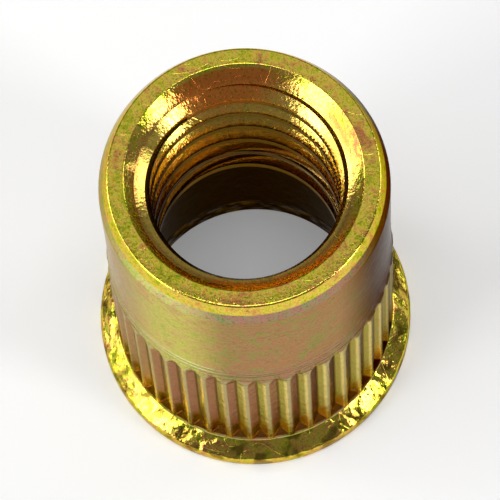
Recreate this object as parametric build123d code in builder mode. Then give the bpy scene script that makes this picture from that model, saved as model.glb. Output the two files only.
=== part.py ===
"""Ribbed rivet nut: a thread insert of one cold-formed steel piece. Millimetres, +Z up.

The nut stands on the outer face of its flange, with the threaded mouth on top. The origin is
the centre of that face. From the bottom up it has the flange with its coned underside, the
thin-walled stretch with the ribs outside and the clearance bore inside, and the plain barrel
with the thread. The thread is a real helical groove, right-handed, with its crests cut off at
the minor diameter.
"""

import os
from math import ceil, pi, radians, tan

from build123d import *
from build123d.topology import SkipClean

# Heights along the axis, from the flange's outer face
total_length = 19.1
flange_thickness = 0.75
flange_cone_height = 0.6
neck_length = 0.1
rib_length = 7.8
shoulder_length = 2.4
rim_taper_length = 0.5
rim_round_length = 0.53

# Diameters
body_diameter = 12.4
rib_crest_diameter = 12.6
flange_diameter = 14.2
thread_minor_diameter = 8.1
clearance_bore_diameter = 10.4
countersink_diameter = 10.2
countersink_foot_diameter = 9.12

# Ribs: straight V-shaped valleys rolled into the outside
rib_count = 42
rib_depth = 0.22
rib_crest_width = 0.12
rib_foot_runout = 0.95
rib_head_runout = 0.95

# Thread: 3/8-16 UNC. It starts below the bore's step and its crests are full under the lead-in
thread_major_diameter = 9.525
thread_pitch = 25.4 / 16
thread_flank_angle = 30
thread_start_drop = 1.07
lead_in_length = 0.9

# Edges
flange_edge_radius = 0.3
flange_face_chamfer = 0.18
rim_taper_depth = 0.19
rim_round_depth = 0.21
rim_edge_radius = 0.12
mouth_edge_radius = 0.12
flange_bore_chamfer = 0.2
bore_step_height = 0.6
clearance_bore_depth = 8.1

# Worked out from the above
flange_radius = flange_diameter / 2
rib_crest_radius = rib_crest_diameter / 2
rib_valley_radius = rib_crest_radius - rib_depth
body_radius = body_diameter / 2
minor_radius = thread_minor_diameter / 2
clearance_bore_radius = clearance_bore_diameter / 2
countersink_radius = countersink_diameter / 2
countersink_foot_radius = countersink_foot_diameter / 2
major_radius = thread_major_diameter / 2

neck_z = flange_thickness + flange_cone_height
rib_foot_z = neck_z + neck_length
rib_head_z = rib_foot_z + rib_length
shoulder_z = rib_head_z + shoulder_length
rim_crease_z = total_length - rim_round_length
rim_taper_z = rim_crease_z - rim_taper_length
rim_crease_radius = body_radius - rim_taper_depth
rim_flat_radius = rim_crease_radius - rim_round_depth
countersink_foot_z = total_length - (countersink_radius - countersink_foot_radius)
thread_top_z = countersink_foot_z - lead_in_length
thread_start_z = clearance_bore_depth - thread_start_drop
thread_turns = ceil((total_length - thread_start_z) / thread_pitch)

rib_pitch = 2 * pi * rib_crest_radius / rib_count
valley_half_width = (rib_pitch - rib_crest_width) / 2

# One valley between two ribs: a V-shaped bar whose bottom rises to the crests at both ends,
# as the knurling roller leaves it. It stands a full rib depth out of the crests.
tool_radius = rib_crest_radius + rib_depth
tool_half_width = 2 * valley_half_width
tool_length = rib_length + 2 * rib_head_runout
with BuildPart() as rib_valley:
    with BuildSketch(Plane.XY.offset(rib_foot_z)):
        with BuildLine():
            Polyline(
                (rib_valley_radius, 0),
                (tool_radius, tool_half_width),
                (tool_radius, -tool_half_width),
                close=True,
            )
        make_face()
    extrude(amount=tool_length)
    with BuildSketch(Plane.XZ):
        with BuildLine():
            Polyline(
                (rib_crest_radius, rib_foot_z),
                (rib_valley_radius, rib_foot_z + rib_foot_runout),
                (rib_valley_radius, rib_head_z),
                (tool_radius, rib_foot_z + tool_length),
                (tool_radius, rib_foot_z),
                close=True,
            )
        make_face()
    extrude(amount=tool_half_width, both=True, mode=Mode.INTERSECT)

# One turn of the thread's groove, flat over an eighth of the pitch at its root. It stands a
# little way into the bore.
groove_inner_radius = minor_radius - 0.25
groove_half_root = thread_pitch / 16
groove_half_mouth = groove_half_root + (major_radius - groove_inner_radius) * tan(radians(thread_flank_angle))
with BuildPart() as thread_turn:
    with BuildLine() as winding:
        Helix(thread_pitch, thread_pitch, minor_radius, center=(0, 0, thread_start_z))
    with BuildSketch(Plane.XZ):
        with BuildLine():
            Polyline(
                (groove_inner_radius, thread_start_z - groove_half_mouth),
                (major_radius, thread_start_z - groove_half_root),
                (major_radius, thread_start_z + groove_half_root),
                (groove_inner_radius, thread_start_z + groove_half_mouth),
                close=True,
            )
        make_face()
    sweep(path=winding.line, is_frenet=True)

# Half of the body, without ribs and thread. The nut is made of two, and its faces aren't merged
# again, so that the seams on both sides part the thread's crest into half turns.
with BuildPart() as half_body:
    # Section of the whole nut, drawn in the plane of the axis
    with BuildSketch(Plane.XZ) as section:
        with BuildLine():
            Polyline(
                (clearance_bore_radius + flange_bore_chamfer, 0),
                (flange_radius, 0),
                (flange_radius, flange_thickness),
                (rib_crest_radius, neck_z),
                (rib_crest_radius, rib_head_z),
                (body_radius, shoulder_z),
                (body_radius, rim_taper_z),
                (rim_crease_radius, rim_crease_z),
                (rim_flat_radius, total_length),
                (countersink_radius, total_length),
                (countersink_foot_radius, countersink_foot_z),
                (minor_radius, thread_top_z),
                (minor_radius, clearance_bore_depth + bore_step_height),
                (clearance_bore_radius, clearance_bore_depth),
                (clearance_bore_radius, flange_bore_chamfer),
                close=True,
            )
        make_face()
        corners = section.vertices()
        top_corners = corners.group_by(Axis.Y)[-1].sort_by(Axis.X)
        flange_corners = corners.group_by(Axis.X)[-1].sort_by(Axis.Y)
        fillet(flange_corners[-1], radius=flange_edge_radius)
        chamfer(flange_corners[0], length=flange_face_chamfer)
        fillet(top_corners[-1], radius=rim_edge_radius)
        fillet(top_corners[0], radius=mouth_edge_radius)
    revolve(axis=Axis.Z, revolution_arc=180)

with SkipClean(), BuildPart() as rivet_nut:
    add(half_body.part)
    add(half_body.part, rotation=(0, 0, 180), clean=False)
    with PolarLocations(0, rib_count):
        add(rib_valley.part, mode=Mode.SUBTRACT, clean=False)
    for turn in range(thread_turns):
        with Locations((0, 0, turn * thread_pitch)):
            add(thread_turn.part, mode=Mode.SUBTRACT, clean=False)

rivet_nut.part.label = "rivet_nut"
os.makedirs("parts", exist_ok=True)
export_step(rivet_nut.part, "parts/rivet_nut.step")
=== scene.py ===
# %% [markdown]
# # A ribbed rivet nut in yellow zinc
#
# A rivet nut is a thread that is brought to a thin sheet. It is pushed through a hole, a screw
# pulls its threaded end up, and the thin ribbed wall above the flange folds out behind the
# sheet. The nut here stands on its flange, as one stands on a bench, with the mouth on top.
#
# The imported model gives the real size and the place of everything. This file gives the looks:
# one finely divided skin with the ribs, the run-outs and the rounded edges, the thread with its
# worn crests, and the gold, pink and green film of a yellow zinc plating.

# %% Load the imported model
from math import asin, cos, pi, radians, sin, tan

import bmesh
import bpy
from mathutils import Matrix, Vector


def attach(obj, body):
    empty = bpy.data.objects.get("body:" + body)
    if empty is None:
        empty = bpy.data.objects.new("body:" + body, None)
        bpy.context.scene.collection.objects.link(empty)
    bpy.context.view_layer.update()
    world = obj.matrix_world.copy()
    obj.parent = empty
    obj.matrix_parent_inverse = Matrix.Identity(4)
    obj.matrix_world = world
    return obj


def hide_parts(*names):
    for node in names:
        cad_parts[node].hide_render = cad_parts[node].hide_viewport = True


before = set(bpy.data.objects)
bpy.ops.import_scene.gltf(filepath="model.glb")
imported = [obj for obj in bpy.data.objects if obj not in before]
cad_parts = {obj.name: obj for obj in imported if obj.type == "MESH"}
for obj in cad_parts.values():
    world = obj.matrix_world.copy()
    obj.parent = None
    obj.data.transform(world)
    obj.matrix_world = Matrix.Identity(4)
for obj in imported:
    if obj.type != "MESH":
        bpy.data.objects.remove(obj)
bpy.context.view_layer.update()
print("CAD nodes:", sorted(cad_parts))

# %% [markdown]
# ## The nut's sizes
#
# Everything is in metres, so a millimetre is named once and each size is written the way a
# drawing of the nut gives it. They are those of the CAD solid, so that the skin lies on it. Only
# the ledge at the countersink's foot and the rounds of the edges are this file's own. The
# thread is 3/8-16 UNC: sixteen turns an inch, right-handed, with 60 degree flanks.

# %% Sizes
MM = 0.001

total_length = 19.1 * MM
flange_radius = 7.1 * MM
flange_thickness = 0.75 * MM
flange_face_middle = 6.3 * MM
neck_height = 1.35 * MM
rib_foot = 1.45 * MM
rib_head = 9.25 * MM
rib_runout = 0.95 * MM
shoulder_height = 11.65 * MM
rib_crest = 6.3 * MM
barrel_radius = 6.2 * MM
rim_taper_height = 18.07 * MM
rim_crease_height = 18.57 * MM
rim_crease_radius = 6.01 * MM
rim_flat_radius = 5.8 * MM
countersink_radius = 5.1 * MM
countersink_foot_radius = 4.56 * MM
ledge_edge_radius = 4.41 * MM
lead_in_length = 0.9 * MM
minor_radius = 4.05 * MM
major_radius = 4.7625 * MM
thread_pitch = 25.4 / 16 * MM
clearance_bore_radius = 5.2 * MM
clearance_bore_depth = 8.1 * MM
bore_step_height = 0.6 * MM
bore_edge_chamfer = 0.2 * MM

rib_count = 42
rib_depth = 0.22 * MM

flange_edge_round = 0.3 * MM
neck_round = 0.08 * MM
taper_round = 0.6 * MM
rim_edge_round = 0.12 * MM
mouth_edge_round = 0.1 * MM
ledge_edge_round = 0.05 * MM
print("Length over barrel diameter:", round(total_length / (2 * barrel_radius), 3))

# %% [markdown]
# ## The camera
#
# A small part on a bench is best seen from above with a long lens, here 71 degrees above the
# bench, so that the mouth, the thread and the front of the ribs all show. The nut has no front,
# so the camera's turn around it only says where the ribs and the thread's crests come to lie.
# The camera is held a few degrees out of level, which leans the nut a little to the left.

# %% Camera
nut_centre = Vector((0, 0, total_length / 2))
camera_distance = 0.208
camera_elevation = radians(71.0)
camera_lean = radians(4.9)
camera_turn = radians(-96.5)


def direction(turn, rise):
    """The direction at an angle around the nut and an angle above the bench."""
    return Vector((sin(turn) * cos(rise), -cos(turn) * cos(rise), sin(rise)))


away = direction(camera_turn, camera_elevation)
bpy.ops.object.select_all(action="DESELECT")
bpy.ops.object.camera_add(location=nut_centre + away * camera_distance)
camera = bpy.context.object
camera.name = "bench_camera"
aim = away.to_track_quat("Z", "Y").to_matrix()
camera.rotation_euler = (aim @ Matrix.Rotation(-camera_lean, 3, "Z")).to_euler()
camera.data.lens = 340
camera.data.clip_start = 0.01
camera.data.clip_end = 10
bpy.context.scene.camera = camera
bpy.context.scene.view_settings.view_transform = "Standard"
print("Camera at", [round(value, 3) for value in camera.location])

# %% [markdown]
# ## One pitch of the wall
#
# The ribs repeat 42 times around, so only the stretch of wall from one crest to the next is
# modelled, and then copied around. It starts as a short arc of a circle at the flange's bore.
# The arc is extruded from ring to ring along the nut's section: out over the flange, up the
# ribs and the barrel, over the rim, and down the bore to where it began. Sixteen steps across
# one pitch are enough to carve a V-shaped valley with a narrow crest on each side.

# %% The section, ring by ring
runout_rings = 8
columns = 16


def rounded(before, corner, after, radius, steps):
    """The arc that rounds one corner of the section, in a number of steps."""
    into = (Vector(corner) - Vector(before)).normalized()
    out = (Vector(after) - Vector(corner)).normalized()
    turn = into.angle(out)
    reach = radius * tan(turn / 2)
    start, end = Vector(corner) - into * reach, Vector(corner) + out * reach
    middle = Vector(corner) + (out - into).normalized() * (radius / cos(turn / 2))
    first, last = start - middle, end - middle
    points = []
    for step in range(steps + 1):
        share = step / steps
        swing = (first * sin((1 - share) * turn) + last * sin(share * turn)) / sin(turn)
        points.append(tuple(middle + swing))
    return points


step_top = clearance_bore_depth + bore_step_height
countersink_foot = total_length - (countersink_radius - countersink_foot_radius)
lead_in_foot = countersink_foot - lead_in_length

corners = [
    (clearance_bore_radius, bore_edge_chamfer),
    (clearance_bore_radius + bore_edge_chamfer, 0),
    (flange_radius, 0),
    (flange_radius, flange_thickness),
    (rib_crest, neck_height),
    (rib_crest, rib_foot),
]
section = [corners[1], (flange_face_middle, 0)]
section += rounded(corners[1], corners[2], corners[3], flange_edge_round, 6)
section += rounded(corners[2], corners[3], corners[4], flange_edge_round, 6)
section += rounded(corners[3], corners[4], corners[5], neck_round, 4)
for ring in range(runout_rings + 1):
    section.append((rib_crest, rib_foot + rib_runout * ring / runout_rings))
section += [(rib_crest, (rib_foot + rib_head) / 2)]
for ring in range(runout_rings + 1):
    section.append((rib_crest, rib_head + rib_runout * ring / runout_rings))
print("Rings up to the ribs' heads:", len(section))

# %% [markdown]
# Above the ribs the wall runs in over a faint shoulder to the barrel. The rim tapers in by about
# 21 degrees over its last millimetre, and its edges are rounded. The mouth has a 45 degree
# countersink, a narrow ledge at its foot, and a steeper lead-in under it, on which the first
# turns of the thread rise to their full height.

# %% The barrel, the rim and the bore
rim_flat_edge = (rim_flat_radius, total_length)
mouth_edge = (countersink_radius, total_length)
section = [point for point in section if point[1] < rib_head + rib_runout - 1e-9]
shoulder_start = rib_head + rib_runout
section += [(rib_crest - 0.03 * MM, shoulder_start), (rib_crest - 0.055 * MM, 10.8 * MM)]
section += [(barrel_radius + 0.01 * MM, 11.5 * MM), (barrel_radius, shoulder_height)]
mid_barrel = (barrel_radius, 15 * MM)
rim_taper = (barrel_radius, rim_taper_height)
rim_crease = (rim_crease_radius, rim_crease_height)
section += [mid_barrel]
section += rounded(mid_barrel, rim_taper, rim_crease, taper_round, 4)
section += rounded(rim_taper, rim_crease, rim_flat_edge, rim_edge_round, 3)
section += rounded(rim_crease, rim_flat_edge, mouth_edge, rim_edge_round, 5)
ledge_foot = (countersink_foot_radius + 0.08 * MM, countersink_foot + 0.08 * MM)
ledge_edge = (ledge_edge_radius, countersink_foot - 0.03 * MM)
section += rounded(rim_flat_edge, mouth_edge, ledge_foot, mouth_edge_round, 4)
section += [ledge_foot]
section += rounded(ledge_foot, ledge_edge, (minor_radius, lead_in_foot), ledge_edge_round, 3)
section += [(minor_radius, lead_in_foot), (minor_radius, step_top)]
mid_bore = (clearance_bore_radius, 4 * MM)
section += [(clearance_bore_radius, clearance_bore_depth), mid_bore, corners[0]]
print("Rings in the whole section:", len(section))

# %% Selecting by place
def select_only(piece, chosen):
    """Selects the vertices of a piece in edit mode whose place passes a test."""
    cage = bmesh.from_edit_mesh(piece.data)
    for vertex in cage.verts:
        vertex.select = chosen(vertex.co)
    cage.select_flush(True)
    cage.select_flush(False)
    bmesh.update_edit_mesh(piece.data)


def count_open_edges():
    """Counts the edges of the piece in edit mode that don't join exactly two faces."""
    bpy.ops.mesh.select_all(action="DESELECT")
    bpy.ops.mesh.select_non_manifold()
    return sum(edge.select for edge in bmesh.from_edit_mesh(bpy.context.object.data).edges)


# %% Extrude the strip along the section
pitch_angle = 2 * pi / rib_count
bpy.ops.object.select_all(action="DESELECT")
bpy.ops.mesh.primitive_circle_add(
    vertices=rib_count * columns, radius=section[0][0], fill_type="NOTHING"
)
nut = bpy.context.object
nut.name = "rivet_nut_skin"
bpy.ops.object.mode_set(mode="EDIT")


def beyond_one_pitch(place):
    """True for all of the circle but one pitch from the X axis on."""
    return not (place.x > 0 and -1e-7 < place.y < place.x * tan(pitch_angle) + 1e-7)


select_only(nut, beyond_one_pitch)
bpy.ops.mesh.delete(type="VERT")
bpy.ops.mesh.select_all(action="SELECT")
for (radius, height), (next_radius, next_height) in zip(section, section[1:]):
    rise = (0, 0, next_height - height)
    grow = next_radius / radius
    bpy.ops.mesh.extrude_region_move(TRANSFORM_OT_translate={"value": rise})
    bpy.ops.transform.resize(value=(grow, grow, 1), center_override=(0, 0, 0))
(first_radius, first_height), (last_radius, last_height) = section[0], section[-1]
rise = (0, 0, first_height - last_height)
grow = first_radius / last_radius
bpy.ops.mesh.extrude_region_move(TRANSFORM_OT_translate={"value": rise})
bpy.ops.transform.resize(value=(grow, grow, 1), center_override=(0, 0, 0))
print("Vertices in one pitch:", len(bmesh.from_edit_mesh(nut.data).verts))

# %% [markdown]
# ## The ribs
#
# The knurl is rolled: a toothed roller presses V-shaped valleys into the wall and the metal
# stands up between them as narrow crests. At the foot the roller's flank stops against the
# flange, so the valley's floor climbs straight up to the crests and its sides meet that floor
# in a small chevron. At the head the tooth lifts out along the roller's curve, and the valley
# closes in a rounded arch. Each vertex of the strip is moved in by the depth at its place.

# %% Carve one valley
def valley_share(column):
    """How deep a column lies: 0 on the crest's flat, 1 at the bottom of the valley."""
    across = min(column, columns - column) / (columns / 2)
    return (0, 0.03, 0.15, 0.29, 0.435, 0.58, 0.725, 0.87, 1)[round(across * 8)]


def depth_at(column, height):
    """How deep a column is pressed in at a height, with the run-outs at both ends."""
    depth = rib_depth * valley_share(column)
    if height < rib_foot + rib_runout:
        floor = rib_depth * max(0, (height - rib_foot) / rib_runout)
        return min(depth, floor)
    if height > rib_head:
        lift = min(1, (height - rib_head) / rib_runout)
        return max(0, depth - rib_depth * (1 - (1 - lift**2) ** 0.5))
    return depth


for height in sorted({round(h, 8) for r, h in section if abs(r - rib_crest) < 1e-9}):
    for column in range(1, columns // 2 + 1):
        depth = depth_at(column, height)
        if depth < 1e-8:
            continue
        angles = (column * pitch_angle / columns, (columns - column) * pitch_angle / columns)

        def on_this_column(place):
            if abs(place.z - height) > 1e-7 or place.xy.length < 5.9 * MM:
                return False
            angle = asin(place.y / place.xy.length)
            return min(abs(angle - angles[0]), abs(angle - angles[1])) < pitch_angle / columns / 4

        select_only(nut, on_this_column)
        press = (rib_crest - depth) / rib_crest
        bpy.ops.transform.resize(value=(press, press, 1), center_override=(0, 0, 0))
print("Depth of the valley in mm:", rib_depth / MM)

# %% [markdown]
# ## Around the axis
#
# The strip is copied 41 times around the axis and the copies are joined where they meet, which
# closes the nut into one watertight skin. The strip starts on a crest, so the seams between
# copies run along crests. Half a pitch of turn then brings a valley onto the X axis, where the
# CAD solid has one. The faces are turned outwards.

# %% Copy the strip around
bpy.ops.mesh.select_all(action="SELECT")
bpy.ops.mesh.spin(
    steps=rib_count - 1,
    dupli=True,
    angle=pitch_angle * (rib_count - 1),
    center=(0, 0, 0),
    axis=(0, 0, 1),
)
bpy.ops.mesh.select_all(action="SELECT")
bpy.ops.mesh.remove_doubles(threshold=1e-6)
bpy.ops.transform.rotate(value=pitch_angle / 2, orient_axis="Z", center_override=(0, 0, 0))
bpy.ops.mesh.normals_make_consistent(inside=False)
open_edges = count_open_edges()
bpy.ops.object.mode_set(mode="OBJECT")
print("Faces:", len(nut.data.polygons), "open edges:", open_edges)

# %% [markdown]
# ## The thread
#
# A thread can be faked with stacked rings, but rings don't climb, and a screw wouldn't pass.
# Here the groove is cut as a tap does it: a bar with the groove's own section, a flat an
# eighth of the pitch wide at the bottom and 60 degrees between the flanks, is wound around the
# axis with the Screw modifier, one pitch a turn and right-handed, and taken out of the bore
# with a Boolean. Near the crests the section flares, because the tap and the plating leave no
# sharp edge there. The bar starts in the clearance bore and ends above the mouth, so that both
# ends of the thread run out as the real ones do.

# %% The tooth's section
groove_inside = 3.8 * MM
flare_radius = 4.17 * MM
thread_start = 5.4425 * MM
tooth_half_widths = [
    (major_radius, thread_pitch / 16),
    (flare_radius, thread_pitch / 16 + (major_radius - flare_radius) * tan(radians(30))),
    (minor_radius, 0.6 * MM),
    (groove_inside, 0.75 * MM),
]
tooth_reach = major_radius - groove_inside
tooth_middle = Vector((groove_inside + tooth_reach / 2, 0, thread_start))

bpy.ops.object.select_all(action="DESELECT")
bpy.ops.mesh.primitive_plane_add(size=1, location=tooth_middle, rotation=(radians(90), 0, 0))
tap = bpy.context.object
tap.name = "tap_tooth"
bpy.ops.object.transform_apply(location=True, rotation=True, scale=True)
bpy.ops.object.mode_set(mode="EDIT")
bpy.ops.mesh.select_all(action="SELECT")
bpy.ops.transform.resize(value=(tooth_reach, 1, MM), center_override=tooth_middle)
bpy.ops.mesh.delete(type="ONLY_FACE")
tooth_edges = bmesh.from_edit_mesh(tap.data).edges
for edge in tooth_edges:
    edge.select = abs(edge.verts[0].co.x - edge.verts[1].co.x) > tooth_reach / 2
bpy.ops.mesh.subdivide(number_cuts=2)
for step, (radius, half_width) in enumerate(tooth_half_widths):
    old_radius = major_radius - tooth_reach * step / 3
    select_only(tap, lambda place: abs(place.x - old_radius) < 1e-6)
    bpy.ops.transform.translate(value=(radius - old_radius, 0, 0))
    bpy.ops.transform.resize(value=(1, 1, 2 * half_width / MM), center_override=tooth_middle)
bpy.ops.object.mode_set(mode="OBJECT")
print("Tooth corners in mm:", [tuple(round(c / MM, 3) for c in v.co) for v in tap.data.vertices])

# %% Wind it around the axis
winding = tap.modifiers.new("winding", "SCREW")
winding.axis = "Z"
winding.angle = 2 * pi
winding.screw_offset = thread_pitch
winding.iterations = 9
winding.steps = winding.render_steps = 144
bpy.ops.object.modifier_apply(modifier="winding")
bpy.ops.object.mode_set(mode="EDIT")
bpy.ops.mesh.select_all(action="SELECT")
bpy.ops.mesh.remove_doubles(threshold=1e-6)
bpy.ops.mesh.fill_holes(sides=8)
bpy.ops.mesh.normals_make_consistent(inside=False)
open_edges = count_open_edges()
bpy.ops.object.mode_set(mode="OBJECT")
print("Tap faces:", len(tap.data.polygons), "open edges:", open_edges)

# %% Cut the thread
bpy.ops.object.select_all(action="DESELECT")
nut.select_set(True)
bpy.context.view_layer.objects.active = nut
cut = nut.modifiers.new("cut", "BOOLEAN")
cut.operation = "DIFFERENCE"
cut.solver = "EXACT"
cut.object = tap
bpy.ops.object.modifier_apply(modifier="cut")
bpy.ops.object.select_all(action="DESELECT")
tap.select_set(True)
bpy.ops.object.delete()
bpy.ops.object.select_all(action="DESELECT")
nut.select_set(True)
bpy.context.view_layer.objects.active = nut
bpy.ops.object.mode_set(mode="EDIT")
open_edges = count_open_edges()
bpy.ops.object.mode_set(mode="OBJECT")
bpy.ops.object.shade_smooth_by_angle(angle=radians(25))
nut.data.calc_loop_triangles()
print("Triangles:", len(nut.data.loop_triangles), "open edges:", open_edges)

# %% [markdown]
# ## Yellow zinc
#
# The nut is steel with a thin coat of zinc, dipped in chromate. The chromate film is so thin
# that it shows interference colours, as oil does on water: gold for the most part, with green
# and red patches where it is a little thinner or thicker. Under it the metal is a mirror with
# a fine grain. Images could be painted for this, but they leave a seam on a turned part, so
# the material is a metal whose colour comes from noise in the nut's own coordinates. It is
# built up from a base film, over which one colour after another is laid, each where its own
# weight says.

# %% The zinc and its nodes
zinc = bpy.data.materials.new("yellow_zinc")
zinc.use_nodes = True
zinc_nodes = zinc.node_tree.nodes
zinc_links = zinc.node_tree.links
zinc_shader = zinc_nodes["Principled BSDF"]
zinc_shader.inputs["Metallic"].default_value = 1.0


def add_node(kind, label, settings=(), inputs=()):
    """Adds a node to the zinc: its settings, then its sockets as values or links."""
    node = zinc_nodes.new("ShaderNode" + kind)
    node.label = label
    for name, value in dict(settings).items():
        setattr(node, name, value)
    for socket, value in dict(inputs).items():
        if hasattr(value, "is_output"):
            zinc_links.new(value, node.inputs[socket])
        else:
            node.inputs[socket].default_value = value
    return node


print("The zinc starts with", len(zinc_nodes), "nodes")

# %% Numbers and vectors
def calculate(label, operation, first, second=0):
    """One step of arithmetic on two numbers."""
    settings = {"operation": operation}
    return add_node("Math", label, settings, {0: first, 1: second}).outputs[0]


def product(label, *factors):
    """All the factors times each other."""
    result = factors[0]
    for factor in factors[1:]:
        result = calculate(label, "MULTIPLY", result, factor)
    return result


def calculate_vector(label, operation, first, second=(0, 0, 0)):
    """One step of arithmetic on two vectors, which gives a number or a vector."""
    node = add_node("VectorMath", label, {"operation": operation}, {0: first, 1: second})
    gives_number = operation in ("LENGTH", "DISTANCE", "DOT_PRODUCT")
    return node.outputs["Value" if gives_number else "Vector"]


def between(label, value, start, end, low=0, high=1):
    """Goes smoothly from low to high while a value goes from start to end."""
    node = add_node("MapRange", label, {"interpolation_type": "SMOOTHSTEP"}, {"Value": value})
    levels = {"From Min": start, "From Max": end, "To Min": low, "To Max": high}
    for socket, level in levels.items():
        node.inputs[socket].default_value = level
    return node.outputs["Result"]


def noise(label, place, scale, detail, roughness=0.5, distortion=0):
    """Noise with about scale bumps in each unit of the place."""
    sockets = {"Vector": place, "Scale": scale, "Detail": detail}
    sockets |= {"Roughness": roughness, "Distortion": distortion}
    return add_node("TexNoise", label, (), sockets).outputs["Fac"]


# %% Colours
def add_ramp(label, factor, stops):
    """A colour ramp with the given (position, colour) stops."""
    node = add_node("ValToRGB", label, inputs={0: factor})
    ramp = node.color_ramp
    while len(ramp.elements) < len(stops):
        ramp.elements.new(0.5)
    for element, (position, colour) in zip(ramp.elements, stops):
        element.position = position
        element.color = (*colour, 1)
    return node.outputs["Color"]


def blend_colours(label, factor, first, second, mode="MIX"):
    """The first colour where the factor is 0, the second where it is 1."""
    settings = {"data_type": "RGBA", "blend_type": mode}
    return add_node("Mix", label, settings, {0: factor, 6: first, 7: second}).outputs[2]


def lay_over(film, layers):
    """Lays (label, weight, colour) layers over a film, one after another."""
    for label, weight, colour in layers:
        film = blend_colours(label, weight, film, (*colour, 1))
    return film


# %% [markdown]
# ## Where a point is on the nut
#
# The finish changes from the flange to the mouth and from the bore to the wall, so each point
# needs its height and its distance from the axis. Both come from Object coordinates, scaled to
# millimetres, and stay with the nut however it is turned or seen.

# %% Height and radius
place = add_node("TexCoord", "place")
normal = place.outputs["Normal"]
millimetres = calculate_vector("millimetres", "MULTIPLY", place.outputs["Object"], (1 / MM,) * 3)
across = calculate_vector("across", "MULTIPLY", millimetres, (1, 1, 0))
radius_mm = calculate_vector("radius", "LENGTH", across)
height_mm = add_node("SeparateXYZ", "height", (), {0: millimetres}).outputs["Z"]


def by_radius(label, start, end, most=1):
    """Rises from 0 to most while the radius goes from start to end, in mm."""
    return between(label, radius_mm, start, end, 0, most)


def by_height(label, start, end, most=1):
    """Rises from 0 to most while the height goes from start to end, in mm."""
    return between(label, height_mm, start, end, 0, most)


print("Nodes so far:", len(zinc_nodes))

# %% [markdown]
# ## The films
#
# The film's thickness wanders with a slow noise and a quicker one, and a colour ramp turns the
# thickness into a colour. The turned and pressed faces have the bright gold film. The plain
# wall is duller and pinker. Which way its normal faces decides the rest: the wall is painted
# paler on one side as painted light, and brown on the other as painted shade.

# %% The film's thickness and colours
film = noise("film", millimetres, 0.7, 3, 0.6, 0.6)
mottle = noise("mottle", millimetres, 2.6, 3, 0.65)
grain = noise("grain", millimetres, 8, 2, 0.6)
slow_part = product("slow part", film, 0.5)
quick_part = product("quick part", mottle, 0.5)
thickness = calculate("thickness", "ADD", slow_part, quick_part)

gold_film = add_ramp("gold film", thickness, [
    (0.38, (0.42, 0.46, 0.03)),
    (0.46, (0.68, 0.60, 0.05)),
    (0.51, (0.80, 0.62, 0.09)),
    (0.57, (0.76, 0.50, 0.09)),
    (0.65, (0.62, 0.26, 0.09)),
])
dull_film = add_ramp("dull film", thickness, [
    (0.38, (0.26, 0.30, 0.12)),
    (0.45, (0.34, 0.28, 0.15)),
    (0.50, (0.38, 0.24, 0.16)),
    (0.55, (0.43, 0.22, 0.17)),
    (0.63, (0.38, 0.25, 0.13)),
])
lit_side_film = add_ramp("lit side film", thickness, [
    (0.38, (0.46, 0.64, 0.12)),
    (0.47, (0.66, 0.76, 0.20)),
    (0.53, (0.72, 0.72, 0.24)),
    (0.62, (0.64, 0.52, 0.24)),
])
print("Nodes so far:", len(zinc_nodes))

# %% The two sides of the wall: painted light and painted shade
facing = add_node("SeparateXYZ", "facing", (), {0: normal}).outputs["Y"]
# Painted light: the wall is paler where its normal turns one way. Painted shade: brown where it
# turns the other way.
painted_light_side = product(
    "painted light side",
    between("towards the painted light side", facing, 0.3, 0.65),
    between("duller past it", facing, 0.75, 0.98, 1, 0.3),
)
painted_shade_side = between("painted shade side", facing, -0.42, -0.82)
wall_film_and_painted_light = blend_colours("dull or lit side film", painted_light_side, dull_film, lit_side_film)
wall_film_and_painted_light = lay_over(wall_film_and_painted_light, [("painted brown shade", painted_shade_side, (0.17, 0.08, 0.02))])
outside_wall = product(
    "outside wall",
    by_radius("outer", 5.86, 5.96),
    by_height("above the flange", 1.35, 1.5),
    by_height("below the rim", 18.62, 18.52),
)
print("Nodes so far:", len(zinc_nodes))

# %% [markdown]
# ## The mouth and the bore
#
# Light that enters the bore goes from wall to wall and takes up more of the gold each time, and
# on top of that the film is painted bright gold near the mouth and brown deeper down, as painted
# light and shade. The bottom of the groove gets painted shade, the crests of the thread thin dark
# lines of painted shade, and the wide entry bore is painted nearly black as shade. A red patch
# lies on one side of the countersink.

# %% Film in the mouth and the bore, with painted light and shade
in_the_bore = by_radius("in the bore", 4.9, 4.6)
# Painted light and shade: the film in the bore goes from bright gold at the mouth to brown deep
# down.
deep = by_height("deep in the bore", 18.6, 11.5)
bore_film_with_painted_shade = blend_colours("bore film and painted shade", deep, (1.0, 0.70, 0.16, 1), (0.30, 0.10, 0.02, 1))
bore_share = product("most of the bore", in_the_bore, 0.75)
film_and_painted_light = blend_colours("gold or bore film and painted shade", bore_share, gold_film, bore_film_with_painted_shade)

# Painted shade at the root of the groove.
near_root = by_radius("near the groove's root", 4.45, 4.65, 0.6)
painted_groove_shade = product("root of the groove", in_the_bore, near_root)
# Painted shade: dark lines on the crests of the thread.
below_mouth = by_height("below the mouth", 17.6, 17.4)
painted_crest_shade = product("thread's crest", below_mouth, by_radius("on the crest", 4.12, 4.08, 0.6))
# Painted shade: the wide entry bore is nearly black.
below_thread = by_height("below the thread", 9.4, 8.4)
entry_bore_shade = product("entry bore", by_radius("inside", 5.5, 5.3), below_thread)
from_patch = calculate_vector("from the red patch", "DISTANCE", millimetres, (4.8, 0, 18.8))
near_patch = between("near the red patch", from_patch, 3.4, 1.4, 0, 0.85)
red_patch = product("red patch", near_patch, by_radius("countersink", 5.02, 4.95))
film_and_painted_light = lay_over(film_and_painted_light, [
    ("painted shade at the root", painted_groove_shade, (0.42, 0.16, 0.05)),
    ("painted shade on the crest", painted_crest_shade, (0.16, 0.07, 0.02)),
    ("painted shade in the entry bore", entry_bore_shade, (0.045, 0.027, 0.010)),
    ("red film", red_patch, (0.95, 0.26, 0.05)),
])
film_and_painted_light = blend_colours("film on the wall", outside_wall, film_and_painted_light, wall_film_and_painted_light)
print("Nodes so far:", len(zinc_nodes))
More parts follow.
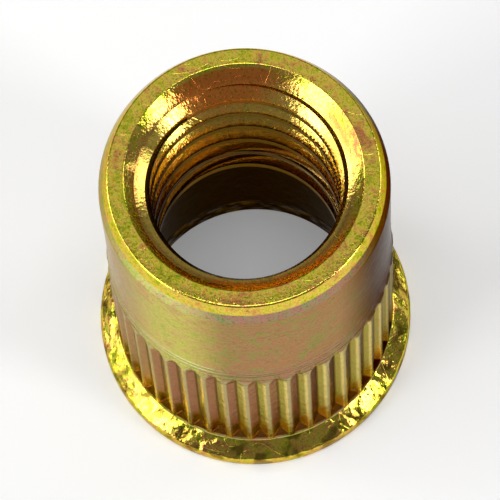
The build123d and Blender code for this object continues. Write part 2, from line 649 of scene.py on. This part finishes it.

# %% [markdown]
# ## The ribs
#
# The two flanks of a valley are painted as lit and shaded: one darker and pink as painted shade,
# the other lighter and green as painted light, with a painted highlight on its edge. Which way a
# flank leans is told by its normal against the direction around the axis. The crests get a pale
# painted highlight, and painted shade lies as a thin dark line in the bottom of each valley.

# %% Film on the ribs, with painted light and shade
on_the_ribs = product(
    "on the ribs",
    by_height("above the foot", 1.42, 1.5),
    by_height("below the heads", 10.3, 9.6),
    by_radius("outside", 5.9, 6.0),
)
tangent = calculate_vector("tangent", "CROSS_PRODUCT", (0, 0, 1), across)
tangent = calculate_vector("tangent of length one", "NORMALIZE", tangent)
leaning = calculate_vector("leaning", "DOT_PRODUCT", tangent, normal)
leans_ahead = between("leans ahead", leaning, 0.08, 0.25, 0, 0.8)
leans_back = between("leans back", leaning, -0.08, -0.25, 0, 0.75)
# Painted light and shade on the flanks: pink and darker on one, green and lighter on the other,
# with a painted highlight high on the green flank.
shaded_pink_flank = product("shaded pink flank", on_the_ribs, leans_ahead)
lit_green_flank = product("lit green flank", on_the_ribs, leans_back)
painted_edge_highlight = product("edge of the lit green flank", lit_green_flank, by_radius("high up", 6.20, 6.25))
# Painted shade: a thin dark line in the bottom of each valley.
painted_valley_shade = product("line in the valley", on_the_ribs, by_radius("bottom", 6.125, 6.09, 0.9))
film_and_painted_light = lay_over(film_and_painted_light, [
    ("painted shade on the pink flank", shaded_pink_flank, (0.29, 0.11, 0.13)),
    ("painted light on the green flank", lit_green_flank, (0.36, 0.40, 0.08)),
    ("painted highlight on the edge", painted_edge_highlight, (1.0, 0.88, 0.38)),
    ("painted shade in the valley", painted_valley_shade, (0.05, 0.02, 0.01)),
])
print("Nodes so far:", len(zinc_nodes))

# %% [markdown]
# At the foot, against the flange, the film is painted orange and brown as painted shade, and the
# floor of each foot is painted darker still. The floor climbs out to the crests, and the edge
# where the valley's sides meet it gets a pink painted highlight, as a small chevron. Points near
# the floor are found by the floor's own slope.

# %% Painted shade at the feet and painted highlights on the crests
# Painted shade at the foot of the valleys, near the flange.
shaded_valley_foot = product(
    "foot of the valleys",
    on_the_ribs,
    by_height("low on the ribs", 3.7, 3.0),
    by_radius("under the crests", 6.27, 6.24),
)
not_green = calculate("not on the lit green flank", "SUBTRACT", 1, lit_green_flank)
above_foot = calculate("above the foot", "SUBTRACT", height_mm, rib_foot / MM)
floor_depth = product("depth of the floor", above_foot, rib_depth / rib_runout)
from_crest = calculate("from the crest", "SUBTRACT", radius_mm, rib_crest / MM)
over_floor = calculate("over the floor", "ADD", from_crest, floor_depth)
painted_floor_shade = product(
    "floor of the foot", shaded_valley_foot, between("on the floor", over_floor, 0.02, 0.008, 0, 0.8)
)
# Painted highlight: a pink line where the valley's sides meet the foot's floor.
chevron = product(
    "chevron",
    shaded_valley_foot,
    between("just over the floor", over_floor, 0.008, 0.02),
    between("not far over the floor", over_floor, 0.06, 0.04),
    by_height("below the valleys", 2.5, 2.3),
)
# Painted highlight: a pale line on the top of each crest.
painted_crest_highlight = product("crest for the painted highlight", on_the_ribs, by_radius("top of a crest", 6.275, 6.295, 0.9))
film_and_painted_light = lay_over(film_and_painted_light, [
    ("painted orange shade at the foot", product("orange", shaded_valley_foot, 0.7), (0.50, 0.24, 0.03)),
    ("painted brown shade at the foot", product("brown", shaded_valley_foot, not_green, 0.9), (0.045, 0.02, 0.008)),
    ("painted shade on the floor", painted_floor_shade, (0.08, 0.03, 0.015)),
    ("painted highlight on the chevron", chevron, (0.62, 0.24, 0.17)),
    ("painted highlight on the crest", painted_crest_highlight, (0.46, 0.48, 0.31)),
])
print("Nodes so far:", len(zinc_nodes))

# %% [markdown]
# ## The shoulder, the flange and the grain
#
# Fine marks run around the shoulder. They are noise that is stretched far across the nut and
# squeezed along it, and as they are laid by height alone, the bore has some at that height too.
# On the side with the painted light the finest marks get a near white painted glint. The pressed
# flange is slightly rippled, with its hollows painted brown as painted shade. Last, a fine
# grain tints the whole film green or pink in places.

# %% Painted glint on the shoulder and painted shade on the flange
stretched = calculate_vector("stretched", "MULTIPLY", millimetres, (0.12, 0.12, 6))
turning = noise("turning marks", stretched, 1, 1)
on_the_shoulder = product(
    "shoulder", by_height("above the heads", 9.5, 9.9), by_height("below the barrel", 11.6, 11.1)
)
finest_lines = between("finest lines", turning, 0.5, 0.58)
ripple = noise("ripple", millimetres, 1.3, 1.5)
hollows = between("hollows of the ripple", ripple, 0.52, 0.38)
# Painted shade: the hollows of the flange's ripple are painted brown.
painted_hollow_shade = product("painted shade in the hollows", by_height("on the flange", 1.45, 1.3, 0.8), hollows)
# Painted glint: near white on the finest marks, on the side with the painted light.
painted_glint_marks = product("marks for the painted glint", on_the_shoulder, painted_light_side, finest_lines)
film_and_painted_light = lay_over(film_and_painted_light, [
    ("painted glint on the marks", painted_glint_marks, (1.0, 0.97, 0.62)),
    ("painted shade on the flange", painted_hollow_shade, (0.20, 0.11, 0.02)),
])
print("Nodes so far:", len(zinc_nodes))

# %% Grain, and the colour at grazing angles
grain_colour = add_ramp("grain colour", grain, [
    (0.36, (0.50, 0.72, 0.34)),
    (0.48, (1.0, 1.0, 1.0)),
    (0.54, (1.0, 1.0, 1.0)),
    (0.66, (1.0, 0.60, 0.58)),
])
zinc_colour = blend_colours("grained film", 0.8, film_and_painted_light, grain_colour, "MULTIPLY")
zinc_links.new(zinc_colour, zinc_shader.inputs["Base Color"])

# The edge tint is painted too: browner on the side with the painted shade, and darker in the entry
# bore as painted shade.
pale_tint, shade_side_tint = (0.80, 0.64, 0.42, 1), (0.32, 0.28, 0.26, 1)
edge_tint = blend_colours("edge tint", painted_shade_side, pale_tint, shade_side_tint)
edge_tint = lay_over(edge_tint, [("painted shade on the tint inside", entry_bore_shade, (0.44, 0.41, 0.38))])
zinc_links.new(edge_tint, zinc_shader.inputs["Specular Tint"])
print("Nodes so far:", len(zinc_nodes))

# %% [markdown]
# ## Gloss, relief and scratches
#
# The metal is nearly a mirror, a little duller on the wall and in the bore, and unevenly so.
# The relief is a bump, since none of it is deeper than a few hundredths of a millimetre: grain
# all over, ripple on the flange, marks on the shoulder, and hairline scratches, which lie where
# a slow noise crosses its middle value.

# %% Gloss
duller_wall = product("duller wall", outside_wall, 0.06)
duller_bore = product("duller bore", in_the_bore, 0.03)
duller = calculate("duller", "MAXIMUM", duller_wall, duller_bore)
gloss = calculate("gloss", "ADD", 0.10, duller)
uneven = calculate("from the middle", "SUBTRACT", mottle, 0.45)
roughness = calculate("roughness", "ADD", gloss, product("uneven gloss", uneven, 0.25))
zinc_links.new(roughness, zinc_shader.inputs["Roughness"])
print("Nodes so far:", len(zinc_nodes))

# %% Relief and scratches
def hairlines(label, scale, offset, width):
    """Long thin curved lines: where a slow noise crosses its middle value."""
    shifted = calculate_vector(label, "ADD", millimetres, offset)
    from_middle = calculate(label, "SUBTRACT", noise(label, shifted, scale, 0, 0.5, 0.6), 0.5)
    return between(label, calculate(label, "ABSOLUTE", from_middle), 0, width, 1, 0)


long_scratches = hairlines("long scratches", 0.32, (3, 7, 1), 0.003)
short_scratches = hairlines("short scratches", 0.7, (11, 2, 5), 0.004)
scratches = calculate("scratches", "MAXIMUM", long_scratches, short_scratches)
ripple_height = between("height of the ripple", height_mm, 1.5, 1.3, 1, 12)
mark_height = product("height of the marks", on_the_shoulder, 10)
mark_relief = calculate("marks around zero", "SUBTRACT", turning, 0.5)

relief = calculate("grain and mottle", "ADD", grain, mottle)
relief = calculate("with ripple", "ADD", relief, product("ripple", ripple, ripple_height))
relief = calculate("with marks", "ADD", relief, product("marks", mark_relief, mark_height))
scratch_depth = product("depth of the scratches", scratches, 0.2)
relief = calculate("with scratches", "SUBTRACT", relief, scratch_depth)
bump_sockets = {"Height": relief, "Strength": 1, "Distance": 0.012 * MM}
bump = add_node("Bump", "fine relief", (), bump_sockets)
zinc_links.new(bump.outputs["Normal"], zinc_shader.inputs["Normal"])
print("Nodes in the zinc:", len(zinc_nodes))

# %% [markdown]
# ## The skin takes the solid's place
#
# The nut is one piece, so the skin rides on the root body, stands for the CAD solid and names
# the surface it shows.

# %% Dress the nut
nut.data.materials.clear()
nut.data.materials.append(zinc)
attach(nut, "root")
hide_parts("rivet_nut")
print("Material on the nut:", nut.data.materials[0].name)

# %% [markdown]
# ## The bench and the light
#
# Shiny metal shows what is around it more than what shines on it. A light tent does both: soft
# windows left and right and a soft top light the nut evenly, and the open side, where the
# camera is, leaves the dark lines that draw its edges. The bench is white. It glows a little
# for rays that come from the camera or off shiny metal, so it looks white and still keeps the
# nut's shadow.

# %% Bench
bench_white = bpy.data.materials.new("bench_white")
bench_white.use_nodes = True
bench_nodes = bench_white.node_tree.nodes
bench_links = bench_white.node_tree.links
bench_shader = bench_nodes["Principled BSDF"]
bench_shader.inputs["Base Color"].default_value = (0.82, 0.82, 0.825, 1)
bench_shader.inputs["Roughness"].default_value = 0.7
bench_shader.inputs["Specular IOR Level"].default_value = 0.2
bench_shader.inputs["Emission Color"].default_value = (1, 1, 1, 1)
light_path = bench_nodes.new("ShaderNodeLightPath")
seen = bench_nodes.new("ShaderNodeMath")
seen.operation = "MAXIMUM"
bench_links.new(light_path.outputs["Is Camera Ray"], seen.inputs[0])
bench_links.new(light_path.outputs["Is Glossy Ray"], seen.inputs[1])
glow = bench_nodes.new("ShaderNodeMath")
glow.operation = "MULTIPLY"
glow.inputs[1].default_value = 0.2
bench_links.new(seen.outputs[0], glow.inputs[0])
bench_links.new(glow.outputs[0], bench_shader.inputs["Emission Strength"])

bpy.ops.object.select_all(action="DESELECT")
bpy.ops.mesh.primitive_plane_add(size=6, location=(0, 0, 0))
bench = bpy.context.object
bench.name = "bench"
bench.data.materials.append(bench_white)
print("Bench:", [round(size, 2) for size in bench.dimensions])

# %% Lamps and world
def soft_panel(name, around, height, distance, wide, tall, radiance):
    """A soft panel that faces the nut, at angles from the camera's side and above the bench."""
    place = direction(camera_turn + radians(around), radians(height)) * distance
    bpy.ops.object.select_all(action="DESELECT")
    bpy.ops.object.light_add(type="AREA", location=place)
    panel = bpy.context.object
    panel.name = name
    panel.data.shape = "RECTANGLE"
    panel.data.size = wide
    panel.data.size_y = tall
    panel.data.energy = radiance * pi * wide * tall
    panel.rotation_euler = place.to_track_quat("Z", "Y").to_euler()
    panel.visible_camera = False


# Angle around and above in degrees, then distance, width, height in metres, and radiance
tent_panels = {
    "left_window": (-60, 24, 0.5, 0.16, 0.34, 4.4),
    "left_tent": (-80, 28, 0.7, 0.80, 0.50, 1.9),
    "left_back_window": (-112, 30, 0.6, 0.16, 0.26, 3.5),
    "right_window": (60, 24, 0.5, 0.10, 0.34, 9.0),
    "right_back_window": (110, 30, 0.6, 0.20, 0.30, 2.6),
    "top_panel": (0, 84, 0.6, 0.26, 0.20, 3.8),
    "back_top_panel": (180, 62, 0.7, 0.60, 0.36, 0.45),
}
for panel_name, panel_sizes in tent_panels.items():
    soft_panel(panel_name, *panel_sizes)

world = bpy.data.worlds.new("tent")
bpy.context.scene.world = world
world.use_nodes = True
tent_cloth = world.node_tree.nodes["Background"]
tent_cloth.inputs["Color"].default_value = (1, 1, 1, 1)
tent_cloth.inputs["Strength"].default_value = 0.2
print("Lamps:", len(tent_panels))
